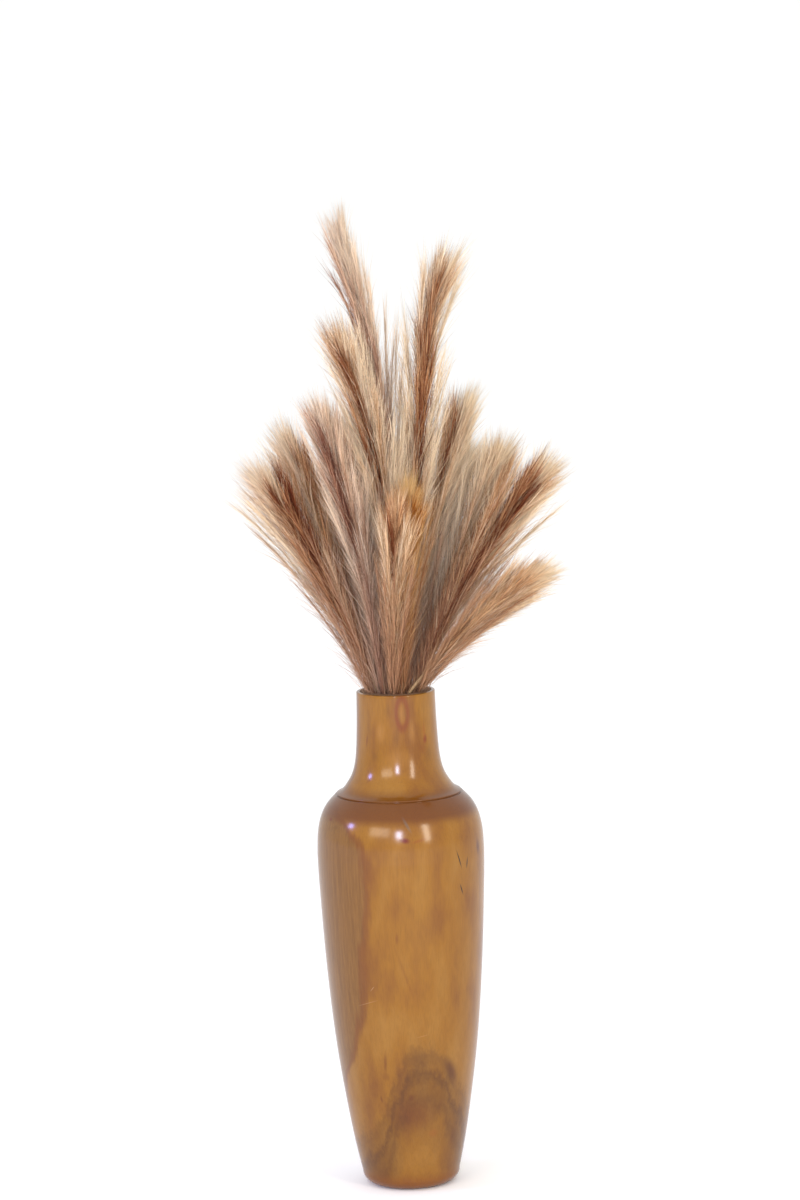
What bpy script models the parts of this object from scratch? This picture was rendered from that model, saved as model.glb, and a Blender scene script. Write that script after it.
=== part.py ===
"""A turned wooden vase with a bunch of dried pampas grass, modelled in metres with +Z up.

The origin is the centre of the vase's foot, on the surface that it stands on, and -Y is its front.
The vase is one solid of revolution: rounded foot, tapering belly, domed shoulder, a V-groove, a
flared neck and a bored hollow. Every plume is one solid: a thin stalk that stands on the floor of the
hollow, a head that swells above the mouth, and the pointed locks that its hairs gather into.
"""

import math

import bmesh
import bpy
import numpy as np
from mathutils import Matrix, Vector

MM = 0.001
WELD = 0.00001  # metres

# Vase, in millimetres
VASE_HEIGHT = 457.0
MOUTH_RADIUS = 35.7
BELLY_RADIUS = 76.2
BELLY_HEIGHT = 309.0
FOOT_CONTACT_RADIUS = 30.0
FOOT_EDGE_RADIUS = 44.6
FOOT_EDGE_HEIGHT = 12.0
FOOT_CURVE_DEGREES = (25, 50, 70, 90)
RIM_BEVEL = 0.8
BORE_RADIUS = 23.5
BORE_DEPTH = 330.0
GROOVE_DEPTH = 1.6
GROOVE_WIDTH = 2.0
VASE_SEGMENTS = 40

# Radius and height of the turned outline, where the belly's curve passes
BELLY_STATIONS = ((53.4, 55.0), (64.4, 129.0), (71.2, 204.0), (75.3, 279.0))
SHOULDER_STATIONS = ((75.2, 328.0), (71.9, 343.0), (66.3, 354.0))
GROOVE_RADIUS = 57.5
GROOVE_HEIGHT = 363.5
NECK_STATIONS = ((51.6, 367.3), (47.0, 373.0), (42.4, 381.0), (39.4, 391.0), (37.6, 405.0), (36.3, 430.0))

# Plumes, in millimetres. LINE_STEPS and STALK_STEPS set how finely a line is measured against the others.
GAP = 0.6
LINE_STEPS = 60
STALK_STEPS = 30
STALK_RADIUS = 1.9
STALK_FLOOR_GAP = 0.3
OUTER_RING = 17.2
INNER_RING = 9.5
OUTER_RING_START = -98.0
INNER_RING_START = -128.0
FLOOR_SPREAD = 0.9
THROAT_RADIUS = 4.2
THROAT_DROP = 30.0
TIP_RADIUS = 0.5

# The core of a head, as shares of its line and of its radius
CORE_SHARE = 0.7
FULLEST = 0.68
SWELL_POWER = 0.6
RING_SPACING_POWER = 0.9
CORE_SIDES = 8
HEAD_RINGS = 8

# The locks: where on the line the lowest one ends, how they bend out, and how full they are
LOCK_RADIUS = 6.5
LOCK_SIDES = 6
LOCK_RINGS = 5
LOCK_LENGTH = 100.0
LOWEST_LOCK = 0.7
LOCK_KNEE_ALONG = 0.45
LOCK_KNEE_OUT = 0.42
LOCK_ROOT_PHASE = 0.12
LOCK_FULLNESS_POWER = 0.8
REACH_SHRINK = 0.85
TOP_GATHERING = 0.3
GOLDEN_ANGLE = math.radians(137.5)

# Colours, as sRGB
HONEY_WOOD = (0.69, 0.48, 0.24)
CHESTNUT = (0.46, 0.27, 0.20)
UMBER = (0.60, 0.42, 0.31)
MAUVE = (0.56, 0.45, 0.41)
SAND = (0.76, 0.61, 0.46)
AMBER = (0.77, 0.56, 0.33)
CREAM = (0.89, 0.83, 0.74)

# Each plume leaves the mouth towards its bend, and ends at its tip. The outer ones are in order round
# the mouth, anticlockwise from the front; the inner three stand inside them.
# name: (bend, tip, head radius, number of locks, colour)
OUTER_PLUMES = {
    "plume_low_front": ((0, -52, 566), (8, -108, 622), 30, 4, SAND),
    "plume_amber_front": ((6, -34, 572), (20, -72, 682), 26, 4, AMBER),
    "plume_low_right": ((82, -30, 540), (148, -50, 572), 30, 5, SAND),
    "plume_far_right": ((75, -6, 590), (156, -12, 664), 35, 5, CHESTNUT),
    "plume_inner_right": ((62, 22, 592), (106, 44, 680), 29, 4, UMBER),
    "plume_high_right": ((20, 24, 581), (80, 50, 730), 26, 4, UMBER),
    "plume_pale_right": ((30, 50, 556), (74, 98, 668), 27, 4, CREAM),
    "plume_back_right": ((6, 58, 580), (30, 116, 690), 30, 4, SAND),
    "plume_back_left": ((-18, 54, 580), (-38, 112, 700), 30, 4, UMBER),
    "plume_behind_left": ((-38, 42, 566), (-86, 84, 668), 29, 4, SAND),
    "plume_upper_left": ((-42, 12, 580), (-102, 26, 710), 29, 4, SAND),
    "plume_far_left": ((-72, -18, 600), (-126, -30, 668), 36, 5, CHESTNUT),
    "plume_mauve_left": ((-20, -28, 594), (-67, -58, 738), 30, 4, MAUVE),
}
INNER_PLUMES = {
    "plume_high_left": ((12, -12, 630), (-52, -44, 808), 33, 4, UMBER),
    "plume_tall_right": ((17, 4, 682), (60, 2, 874), 25, 4, CHESTNUT),
    "plume_tall_left": ((18, 16, 695), (-39, 26, 894), 22, 4, MAUVE),
}


def start_empty():
    for thing in list(bpy.data.objects):
        bpy.data.objects.remove(thing, do_unlink=True)


def collection(name):
    made = bpy.data.collections.new(name)
    bpy.context.scene.collection.children.link(made)
    return made


def principled(name, colour, roughness, coat):
    """A Principled material, with its sRGB colour turned to linear."""
    linear = [((c + 0.055) / 1.055) ** 2.4 for c in colour]
    material = bpy.data.materials.new(name)
    material.use_nodes = True
    shader = material.node_tree.nodes["Principled BSDF"]
    shader.inputs["Base Color"].default_value = (*linear, 1.0)
    shader.inputs["Roughness"].default_value = roughness
    shader.inputs["Metallic"].default_value = 0.0
    shader.inputs["Coat Weight"].default_value = coat
    return material


def through(stations, steps):
    """A smooth line through stations (Catmull-Rom), with this many steps from each to the next."""
    points = [Vector(station) for station in stations]
    line = []
    for i in range(len(points) - 1):
        before, start = points[max(i - 1, 0)], points[i]
        end, after = points[i + 1], points[min(i + 2, len(points) - 1)]
        for step in range(steps):
            t = step / steps
            line.append(
                start
                + 0.5 * t * (end - before)
                + t * t * (before - 2.5 * start + 2 * end - 0.5 * after)
                + 0.5 * t ** 3 * (3 * start - before - 3 * end + after)
            )
    return line + [points[-1]]


def vase_outline():
    """Radius and height of the turned profile, from the bore's floor over the rim to the foot's centre."""
    floor = VASE_HEIGHT - BORE_DEPTH
    hollow = [
        (0.0, floor),
        (BORE_RADIUS, floor),
        (BORE_RADIUS, VASE_HEIGHT - RIM_BEVEL),
        (BORE_RADIUS + RIM_BEVEL, VASE_HEIGHT),
        (MOUTH_RADIUS - RIM_BEVEL, VASE_HEIGHT),
    ]
    along = Vector((SHOULDER_STATIONS[-1][0] - GROOVE_RADIUS, SHOULDER_STATIONS[-1][1] - GROOVE_HEIGHT))
    along.normalize()
    inward = Vector((along.y, -along.x))
    middle = Vector((GROOVE_RADIUS, GROOVE_HEIGHT))
    upper_lip = middle - along * GROOVE_WIDTH / 2
    lower_lip = middle + along * GROOVE_WIDTH / 2
    neck = [(MOUTH_RADIUS, VASE_HEIGHT - RIM_BEVEL), *NECK_STATIONS[::-1], upper_lip]
    groove = [middle + inward * GROOVE_DEPTH]
    shoulder = through((lower_lip, *SHOULDER_STATIONS[::-1], (BELLY_RADIUS, BELLY_HEIGHT)), 2)
    foot_edge = (FOOT_EDGE_RADIUS, FOOT_EDGE_HEIGHT)
    belly = through(((BELLY_RADIUS, BELLY_HEIGHT), *BELLY_STATIONS[::-1], foot_edge), 2)
    width = FOOT_EDGE_RADIUS - FOOT_CONTACT_RADIUS
    foot = [
        (FOOT_CONTACT_RADIUS + width * math.cos(a), FOOT_EDGE_HEIGHT * (1 - math.sin(a)))
        for a in map(math.radians, FOOT_CURVE_DEGREES)
    ]
    return [tuple(p) for p in (*hollow, *neck, *groove, *shoulder, *belly[1:], *foot, (0.0, 0.0))]


def make_vase(home):
    """The vase: its outline turned about the vertical axis."""
    outline = [(radius * MM, 0.0, height * MM) for radius, height in vase_outline()]
    mesh = bpy.data.meshes.new("vase")
    mesh.from_pydata(outline, [(i, i + 1) for i in range(len(outline) - 1)], [])
    vase = bpy.data.objects.new("vase", mesh)
    home.objects.link(vase)
    turn = vase.modifiers.new("turned on the lathe", "SCREW")
    turn.axis = "Z"
    turn.angle = math.tau
    turn.steps = turn.render_steps = VASE_SEGMENTS
    turn.use_merge_vertices = True
    turn.merge_threshold = WELD
    turn.use_smooth_shade = True
    vase.data.materials.append(principled("lacquered honey wood", HONEY_WOOD, roughness=0.25, coat=0.6))
    return vase


def ring_seat(radius, start_degrees, index, count):
    angle = math.radians(start_degrees + index * 360.0 / count)
    return Vector((radius * math.cos(angle), radius * math.sin(angle), VASE_HEIGHT))


class Plume:
    """One plume's line: up from the floor of the bore to its seat in the mouth, then bending to its tip."""

    def __init__(self, name, seat, bend, tip, radius, locks, colour):
        self.name, self.radius, self.locks, self.colour = name, radius, locks, colour
        self.seat, self.bend, self.tip = seat, Vector(bend), Vector(tip)
        floor = VASE_HEIGHT - BORE_DEPTH + STALK_FLOOR_GAP
        self.foot = Vector((seat.x * FLOOR_SPREAD, seat.y * FLOOR_SPREAD, floor))
        stalk = [self.foot.lerp(self.seat, i / STALK_STEPS) for i in range(STALK_STEPS)]
        head = [self.at(i / LINE_STEPS) for i in range(LINE_STEPS + 1)]
        self.samples = np.array(stalk + head)

    def at(self, t):
        return self.seat * (1 - t) ** 2 + self.bend * 2 * t * (1 - t) + self.tip * t * t

    def heading(self, t):
        return ((self.bend - self.seat) * (1 - t) + (self.tip - self.bend) * t).normalized()

    def length(self):
        return (self.bend - self.seat).length * 0.5 + (self.tip - self.seat).length * 0.5

    def distance(self, point):
        return float(np.sqrt(((self.samples - np.array(point)) ** 2).sum(axis=1).min()))

    def room(self, point, others):
        """The widest ball about a point that stays on this plume's side of every other one."""
        own = self.distance(point)
        return min((other.distance(point) - own) / 2 for other in others) - GAP / 2


def head_share(t):
    """How full a head is along its line: narrow at the throat, fullest past the middle, then pointed."""
    swell = min(t / FULLEST, 1.0) ** SWELL_POWER
    taper = 1 - (max(t - FULLEST, 0.0) / (1 - FULLEST)) ** 2
    return swell * taper


def tube(name, points, radii, sides):
    """A closed mesh along points, with a radius at each; it starts as a bevelled curve."""
    curve = bpy.data.curves.new(name, "CURVE")
    curve.dimensions = "3D"
    curve.bevel_depth = 1.0
    curve.bevel_resolution = sides // 2 - 2
    curve.use_fill_caps = True
    line = curve.splines.new("POLY")
    line.points.add(len(points) - 1)
    for spot, place, radius in zip(line.points, points, radii):
        spot.co = (*(place * MM), 1.0)
        spot.radius = radius * MM
    guide = bpy.data.objects.new(name + " line", curve)
    bpy.context.scene.collection.objects.link(guide)
    seen = guide.evaluated_get(bpy.context.evaluated_depsgraph_get())
    mesh = bpy.data.meshes.new_from_object(seen)
    bpy.data.objects.remove(guide, do_unlink=True)
    shape = bmesh.new()
    shape.from_mesh(mesh)
    bmesh.ops.remove_doubles(shape, verts=shape.verts, dist=WELD)
    bmesh.ops.recalc_face_normals(shape, faces=shape.faces)
    shape.to_mesh(mesh)
    shape.free()
    return mesh


def core_mesh(plume, others):
    """The stalk and the core of the head, as thick as the neighbours leave it."""
    points = [plume.foot, plume.seat - Vector((0, 0, THROAT_DROP))]
    radii = [STALK_RADIUS, STALK_RADIUS]
    for ring in range(HEAD_RINGS + 1):
        t = (ring / HEAD_RINGS) ** RING_SPACING_POWER
        place = plume.at(t)
        full = THROAT_RADIUS * (1 - t) + plume.radius * CORE_SHARE * head_share(t)
        points.append(place)
        radii.append(max(TIP_RADIUS, min(full, plume.room(place, others))))
    return tube(plume.name, points, radii, CORE_SIDES)


def lock_mesh(plume, index, others):
    """One pointed lock: it leaves the plume's line and leans out to where its hairs end."""
    end = 1.0 - (1.0 - LOWEST_LOCK) * index / (plume.locks - 1)
    start = end - LOCK_LENGTH / plume.length()
    root = plume.at(start)
    heading = plume.heading(start)
    out = Matrix.Rotation(index * GOLDEN_ANGLE, 3, heading) @ heading.orthogonal().normalized()
    ending = plume.at(end)
    reach = plume.radius * (1.0 - TOP_GATHERING * (end - LOWEST_LOCK) / (1.0 - LOWEST_LOCK))
    while plume.room(ending + out * reach, others) < 2 * TIP_RADIUS and reach > LOCK_RADIUS:
        reach *= REACH_SHRINK
    far = ending + out * reach
    knee = root + heading * LOCK_LENGTH * LOCK_KNEE_ALONG + out * reach * LOCK_KNEE_OUT
    points, radii = [], []
    for ring in range(LOCK_RINGS + 1):
        t = ring / LOCK_RINGS
        place = root * (1 - t) ** 2 + knee * 2 * t * (1 - t) + far * t * t
        phase = (LOCK_ROOT_PHASE + (1 - LOCK_ROOT_PHASE) * t) ** LOCK_FULLNESS_POWER
        full = TIP_RADIUS + LOCK_RADIUS * math.sin(math.pi * phase)
        room = plume.room(place, others)
        if room < TIP_RADIUS:
            break
        points.append(place)
        radii.append(min(full, room) if ring < LOCK_RINGS else TIP_RADIUS)
    return tube(plume.name + " lock", points, radii, LOCK_SIDES) if len(points) > 2 else None


def fuse(name, base, additions, home, cutters):
    """One object from a base mesh and what grows out of it."""
    body = bpy.data.objects.new(name, base)
    home.objects.link(body)
    for index, mesh in enumerate(additions):
        lock = bpy.data.objects.new(f"{name} lock {index}", mesh)
        lock.hide_render = True
        lock.display_type = "WIRE"
        cutters.objects.link(lock)
        union = body.modifiers.new(f"lock {index}", "BOOLEAN")
        union.operation = "UNION"
        union.solver = "EXACT"
        union.object = lock
    return body


def make_plume(plume, others, home, cutters):
    locks = [lock_mesh(plume, index, others) for index in range(plume.locks)]
    body = fuse(plume.name, core_mesh(plume, others), [mesh for mesh in locks if mesh], home, cutters)
    body.data.materials.append(principled(plume.name + " hair", plume.colour, roughness=0.85, coat=0.0))
    return body


def arrange():
    """Every plume with its seat in one of the two rings in the mouth."""
    plumes = []
    rings = (
        (OUTER_PLUMES, OUTER_RING, OUTER_RING_START),
        (INNER_PLUMES, INNER_RING, INNER_RING_START),
    )
    for rows, radius, start in rings:
        for index, (name, row) in enumerate(rows.items()):
            plumes.append(Plume(name, ring_seat(radius, start, index, len(rows)), *row))
    return plumes


def main():
    start_empty()
    home = collection("vase of pampas grass")
    cutters = collection("locks before they are joined")
    make_vase(home)
    plumes = arrange()
    for plume in plumes:
        make_plume(plume, [other for other in plumes if other is not plume], home, cutters)


main()
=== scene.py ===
# %% [markdown]
# # A vase of pampas grass
# The real thing is a vase turned from one block of honey-coloured wood, lacquered to a gloss, with
# sixteen plumes of dried pampas grass standing in it. The CAD model gives every piece its size and
# place. This notebook gives each one its looks, in the same frame: metres, +Z up, -Y to the front.

# %% Load the imported model
import math

import bpy
from mathutils import Matrix, Vector


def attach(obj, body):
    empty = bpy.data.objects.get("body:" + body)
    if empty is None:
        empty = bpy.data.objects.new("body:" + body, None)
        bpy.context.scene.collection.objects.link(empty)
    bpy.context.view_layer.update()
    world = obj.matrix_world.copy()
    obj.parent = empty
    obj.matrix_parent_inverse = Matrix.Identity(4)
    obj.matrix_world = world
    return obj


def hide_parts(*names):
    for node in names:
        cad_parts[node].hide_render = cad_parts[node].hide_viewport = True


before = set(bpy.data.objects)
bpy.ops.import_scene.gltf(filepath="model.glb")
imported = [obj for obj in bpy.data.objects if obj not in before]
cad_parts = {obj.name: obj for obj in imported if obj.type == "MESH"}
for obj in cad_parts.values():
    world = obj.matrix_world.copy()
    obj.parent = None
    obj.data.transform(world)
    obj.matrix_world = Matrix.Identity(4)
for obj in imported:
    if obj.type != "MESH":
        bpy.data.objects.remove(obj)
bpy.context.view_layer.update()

MM = 0.001

# %% [markdown]
# ## A few small helpers
# A node tree is easier to read as a few calls than as a long list of sockets. `add` makes any node,
# sets its properties and connects it, so that one line of code is one node. A formula is then a nest
# of calls, read from the inside out. Inputs go by name or in their order: a mix takes a share and two
# values, and a range takes a value, its two ends, and the two ends that it is stretched to. `linear`
# turns a colour that a person can pick, an sRGB hex code, into the linear values that a shader works
# with, because light adds up in linear values only.

# %% Helpers for colours and nodes
# short name: the kind of node, and the setting that a second word of the name gives
KINDS = {
    "math": ("ShaderNodeMath", "operation"),
    "vector": ("ShaderNodeVectorMath", "operation"),
    "range": ("ShaderNodeMapRange", "interpolation_type"),
    "mix": ("ShaderNodeMix", "data_type"),
    "random": ("FunctionNodeRandomValue", "data_type"),
    "ramp": ("ShaderNodeValToRGB", None),
}


def linear(code):
    """An sRGB hex colour as linear red, green, blue and alpha."""
    channels = [int(code[i:i + 2], 16) / 255 for i in (1, 3, 5)]
    return (*[c / 12.92 if c <= 0.04045 else ((c + 0.055) / 1.055) ** 2.4 for c in channels], 1.0)


def live(sockets, key=0):
    """The socket at this place, or of this name, among those that the node's settings leave in use."""
    used = [socket for socket in sockets if socket.enabled]
    return used[key] if isinstance(key, int) else next(s for s in used if s.name == key)


def fill(tree, node, inputs):
    """Gives a node's inputs, by place or by name, their values, hex colours, or sockets or nodes to link."""
    for key, value in inputs.items() if isinstance(inputs, dict) else enumerate(inputs):
        if isinstance(value, bpy.types.Node):
            value = live(value.outputs)
        elif isinstance(value, str) and value.startswith("#"):
            value = linear(value)
        if isinstance(value, bpy.types.NodeSocket):
            tree.links.new(value, live(node.inputs, key))
        elif value is not None:
            live(node.inputs, key).default_value = value


def add(tree, kind, inputs=(), stops=(), **settings):
    """A node with its settings, its inputs and, for a colour ramp, its stops of a place and a colour."""
    short, _, choice = kind.partition(" ")
    full, setting = KINDS.get(short, (kind, None))
    node = tree.nodes.new(full)
    if choice:
        setattr(node, setting, choice)
    for name, value in settings.items():
        setattr(node, name, value)
    fill(tree, node, inputs)
    for _ in stops[2:]:
        node.color_ramp.elements.new(0.5)
    for number, (place, code) in enumerate(stops):
        node.color_ramp.elements[number].position = place
        node.color_ramp.elements[number].color = linear(code)
    return node


def new_finish(name):
    """An empty material, its tree, and its shader."""
    material = bpy.data.materials.new(name)
    material.use_nodes = True
    return material, material.node_tree, material.node_tree.nodes["Principled BSDF"]


print("short names for nodes:", ", ".join(KINDS))

# %% [markdown]
# ## The camera
# The picture was taken from about four metres away with a long lens, slightly above the bunch and
# looking a little down, and the camera was tipped by two degrees, so the vase leans to the left.
# The camera's own axes are built first, and then written into its matrix.

# %% Place the camera
CAMERA_AT = Vector((0.0068, -4.2, 1.1222))
LOOKS_DOWN, TIPPED = math.radians(7.9), math.radians(1.9)
LENS_MM, SENSOR_MM = 140.46, 36.0

forward = Vector((0, math.cos(LOOKS_DOWN), -math.sin(LOOKS_DOWN)))
level_up = Vector((0, math.sin(LOOKS_DOWN), math.cos(LOOKS_DOWN)))
across = Vector((1, 0, 0))
camera_right = math.cos(TIPPED) * across - math.sin(TIPPED) * level_up
camera_up = math.sin(TIPPED) * across + math.cos(TIPPED) * level_up
camera = bpy.data.objects.new("camera", bpy.data.cameras.new("camera"))
camera.data.lens = LENS_MM
camera.data.sensor_width = SENSOR_MM
turned = Matrix((camera_right, camera_up, -forward)).transposed().to_4x4()
camera.matrix_world = Matrix.Translation(CAMERA_AT) @ turned
bpy.context.scene.collection.objects.link(camera)
bpy.context.scene.camera = camera
print("camera distance", round(CAMERA_AT.length, 2), "m")

# %% [markdown]
# ## The floor and the light
# A product picture wants an even, bright room. A white world lights everything softly, as a light
# tent does. Four soft boxes, well apart, give the lacquer its highlights: on the shoulder and on
# the neck each of them shows as one small patch, so their directions can be worked out from there.

# %% Make the floor, the world and the soft boxes
FLOOR_SIZE = 600.0
BOX_DISTANCE = 5.0
LIT_HEIGHT = 0.36
WORLD_STRENGTH = 1.05

floor_mesh = bpy.data.meshes.new("floor")
half = FLOOR_SIZE / 2
corners = [(-half, -half, 0), (half, -half, 0), (half, half, 0), (-half, half, 0)]
floor_mesh.from_pydata(corners, [], [(0, 1, 2, 3)])
floor = bpy.data.objects.new("floor", floor_mesh)
bpy.context.scene.collection.objects.link(floor)
# matte paint: rough, with next to no shine
floor_paint, floor_tree, floor_shader = new_finish("matte white studio floor")
fill(floor_tree, floor_shader, {
    "Base Color": "#fbfbfa", "Roughness": 0.9, "Specular IOR Level": 0.1,
})
floor_mesh.materials.append(floor_paint)

world = bpy.data.worlds.new("white light tent")
world.use_nodes = True
background = world.node_tree.nodes["Background"]
fill(world.node_tree, background, {"Color": "#ffffff", "Strength": WORLD_STRENGTH})
bpy.context.scene.world = world
bpy.context.scene.view_settings.view_transform = "Standard"

# direction from the front in degrees, height in degrees, width and height in metres, watts, colour
SOFT_BOXES = {
    "cool_box": (-2, 15, 0.6, 0.9, 85, "#dbe2ff"),
    "warm_left_box": (-30, 19.5, 2.4, 1.2, 60, "#fff0dc"),
    "warm_right_box": (38, 17, 0.75, 2.2, 80, "#fff0dc"),
    "violet_box": (-78, 20, 0.6, 0.6, 55, "#a0a6ff"),
}
for name, (aside, raised, width, height, watts, colour) in SOFT_BOXES.items():
    lamp = bpy.data.lights.new(name, "AREA")
    lamp.shape, lamp.size, lamp.size_y = "RECTANGLE", width, height
    lamp.energy, lamp.color = watts, linear(colour)[:3]
    box = bpy.data.objects.new(name, lamp)
    a, e = math.radians(aside), math.radians(raised)
    out = Vector((math.sin(a) * math.cos(e), -math.cos(a) * math.cos(e), math.sin(e)))
    box.matrix_world = (
        Matrix.Translation(out * BOX_DISTANCE + Vector((0, 0, LIT_HEIGHT)))
        @ out.to_track_quat("Z", "Y").to_matrix().to_4x4()
    )
    bpy.context.scene.collection.objects.link(box)
print("soft boxes:", ", ".join(SOFT_BOXES))

# %% [markdown]
# ## The outline of the vase
# A turner cuts this shape with a gouge while the block spins, so one outline says everything: a bored
# hollow, a flat rim, a neck that flares, a V-groove, a domed shoulder, a long taper and a rounded foot.
# The outline runs through the same heights and radii as the CAD solid, with more points between them.

# %% Sizes of the vase, and helpers for smooth lines
# millimetres: a pair is a radius and a height
VASE_HEIGHT, MOUTH_RADIUS = 457.0, 35.7
BELLY = (76.2, 309.0)
FOOT_CONTACT_RADIUS, FOOT_EDGE = 30.0, (44.6, 12.0)
BORE_RADIUS, BORE_DEPTH, BORE_STEPS = 23.5, 330.0, 12
RIM_BEVEL, RIM_STEP = 0.8, 2.1
GROOVE_DEPTH, GROOVE_WIDTH, GROOVE_AT = 1.6, 2.0, (57.5, 363.5)
BELLY_STATIONS = ((53.4, 55.0), (64.4, 129.0), (71.2, 204.0), (75.3, 279.0))
SHOULDER_STATIONS = ((75.2, 328.0), (71.9, 343.0), (66.3, 354.0))
NECK_STATIONS = ((51.6, 367.3), (47.0, 373.0), (42.4, 381.0), (39.4, 391.0), (37.6, 405.0), (36.3, 430.0))
STEPS_BETWEEN = 7


def through(stations, steps):
    """A smooth line through the stations (Catmull-Rom)."""
    points = [Vector(station) for station in stations]
    line = []
    for i in range(len(points) - 1):
        before, start = points[max(i - 1, 0)], points[i]
        end, after = points[i + 1], points[min(i + 2, len(points) - 1)]
        for t in (step / steps for step in range(steps)):
            line.append(
                start
                + 0.5 * t * (end - before)
                + t * t * (before - 2.5 * start + 2 * end - 0.5 * after)
                + 0.5 * t ** 3 * (3 * start - before - 3 * end + after)
            )
    return line + [points[-1]]


def arc(centre, radius, start, end, steps):
    """Points round a corner, from one angle to another in degrees."""
    angles = [math.radians(start + (end - start) * i / steps) for i in range(steps + 1)]
    return [Vector((centre[0] + radius * math.cos(a), centre[1] + radius * math.sin(a))) for a in angles]


print("vase:", round(VASE_HEIGHT), "mm tall and", round(2 * BELLY[0], 1), "mm across")

# %% Draw the outline
bore_floor = VASE_HEIGHT - BORE_DEPTH
bare_outline = [
    Vector((0, bore_floor)),
    Vector((BORE_RADIUS, bore_floor)),
    *[Vector((BORE_RADIUS, bore_floor + (BORE_DEPTH - RIM_BEVEL) * i / BORE_STEPS))
      for i in range(1, BORE_STEPS)],
    *arc((BORE_RADIUS + RIM_BEVEL, VASE_HEIGHT - RIM_BEVEL), RIM_BEVEL, 180, 90, 4),
    *[Vector((BORE_RADIUS + RIM_BEVEL + i * RIM_STEP, VASE_HEIGHT)) for i in range(1, 5)],
]
rim_corner = arc((MOUTH_RADIUS - RIM_BEVEL, VASE_HEIGHT - RIM_BEVEL), RIM_BEVEL, 90, 0, 5)
groove = Vector(GROOVE_AT)
along_groove = (Vector(SHOULDER_STATIONS[-1]) - groove).normalized()
into_wood = Vector((along_groove.y, -along_groove.x))
groove_cut = [
    groove + along_groove * GROOVE_WIDTH * x + into_wood * GROOVE_DEPTH * depth
    for x, depth in ((-0.62, -0.01), (-0.5, 0.06), (-0.3, 0.45), (-0.12, 0.86), (0.0, 0.96),
                     (0.12, 0.86), (0.3, 0.45), (0.5, 0.06), (0.62, -0.01))
]
neck = through((rim_corner[-1], *NECK_STATIONS[::-1], groove_cut[0]), STEPS_BETWEEN)
shoulder = through((groove_cut[-1], *SHOULDER_STATIONS[::-1], BELLY), STEPS_BETWEEN)
belly = through((BELLY, *BELLY_STATIONS[::-1], FOOT_EDGE), STEPS_BETWEEN)
foot_width = FOOT_EDGE[0] - FOOT_CONTACT_RADIUS
foot = [
    Vector((FOOT_CONTACT_RADIUS + foot_width * math.cos(a), FOOT_EDGE[1] * (1 - math.sin(a))))
    for a in (math.radians(9 * i) for i in range(1, 11))
]
lacquered_outline = [
    *rim_corner, *neck[1:], *groove_cut[1:-1], *shoulder, *belly[1:], *foot,
    Vector((FOOT_CONTACT_RADIUS / 2, 0)), Vector((0, 0)),
]
outline = bare_outline + lacquered_outline
print("outline points:", len(outline), "of them bare wood:", len(bare_outline))

# %% [markdown]
# ## The lacquered wood
# The wood is a pale honey sapwood with a brown heartwood, finished with a glossy lacquer. The grain
# runs up the block, so on the turned side it shows as fine upright streaks. It could be an image, but
# a picture would show a seam: here every streak is noise that is squeezed sideways and stretched
# upwards, and every knot, check and arch is a small shape drawn at its own place on the surface. A
# place is given as an angle from the front and a height, which is how a turner would mark it.

# %% Surface coordinates and grain of the wood
SAPWOOD, SAPWOOD_PALE, SAPWOOD_DEEP = "#85570e", "#8d6221", "#75470e"
HEARTWOOD, HEARTWOOD_DARK, HEART_LINE = "#785120", "#694518", "#69370a"
NOMINAL_RADIUS = 70.0
DEGREE_MM = math.radians(NOMINAL_RADIUS)


def wood_places(tree):
    """Sockets for the distance round the surface in millimetres, the height in millimetres, and both."""
    spot = add(tree, "ShaderNodeTexCoord").outputs["Object"]
    parts = add(tree, "ShaderNodeSeparateXYZ", [spot])
    back = add(tree, "math MULTIPLY", [parts.outputs["Y"], -1.0])
    angle = add(tree, "math ARCTAN2", [parts.outputs["X"], back])
    arc_mm = add(tree, "math MULTIPLY", [angle, NOMINAL_RADIUS])
    height_mm = add(tree, "math MULTIPLY", [parts.outputs["Z"], 1 / MM])
    both = add(tree, "ShaderNodeCombineXYZ", [arc_mm, height_mm, 0.0])
    return spot, arc_mm, height_mm, both


def stretched_noise(tree, spot, width_mm, length_mm, detail=3.0, roughness=0.55, seed=0.0):
    """Noise whose patches are this wide and this long up the grain."""
    scale = (1 / (width_mm * MM), 1 / (width_mm * MM), 1 / (length_mm * MM))
    place = add(tree, "ShaderNodeMapping", {"Vector": spot, "Scale": scale, "Location": (seed, seed, seed)})
    return add(
        tree, "ShaderNodeTexNoise",
        {"Vector": place, "Scale": 1.0, "Detail": detail, "Roughness": roughness},
    )


def drawn_line(tree, value, places):
    """A line drawn through given places: for a value, the number that the places give."""
    low, high = places[0][0], places[-1][0]
    numbers = [number for _, number in places]
    bottom, top = min(numbers), max(numbers)
    share = add(tree, "range", [value, low, high])
    curve = add(tree, "ShaderNodeFloatCurve", {"Value": share})
    points = curve.mapping.curves[0].points
    while len(points) < len(places):
        points.new(0.5, 0.5)
    for point, (at, number) in zip(points, places):
        point.location = ((at - low) / (high - low), (number - bottom) / (top - bottom))
    curve.mapping.update()
    return add(tree, "range", [curve, 0.0, 1.0, bottom, top])


print("one degree round the wood is", round(DEGREE_MM, 2), "mm")

# %% [markdown]
# ### Marks that make it this block of wood
# On the left the heartwood shows behind a reddish line that swings down from the shoulder. Near the
# foot the cut runs across the growth rings, so they show as a pointed arch. The neck has an eye, where
# the rings close, and two knots. Each mark is an ellipse with a soft edge, so one table holds them all.

# %% Where the marks are
# height in millimetres, angle in degrees: where the heartwood begins
HEART_EDGE = ((60, -84), (105, -66), (130, -46), (182, -33), (235, -28), (293, -22.5),
              (313, -24.5), (331, -32), (345, -45), (362, -75))
ARCH_BROWN = "#4b290b"
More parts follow.
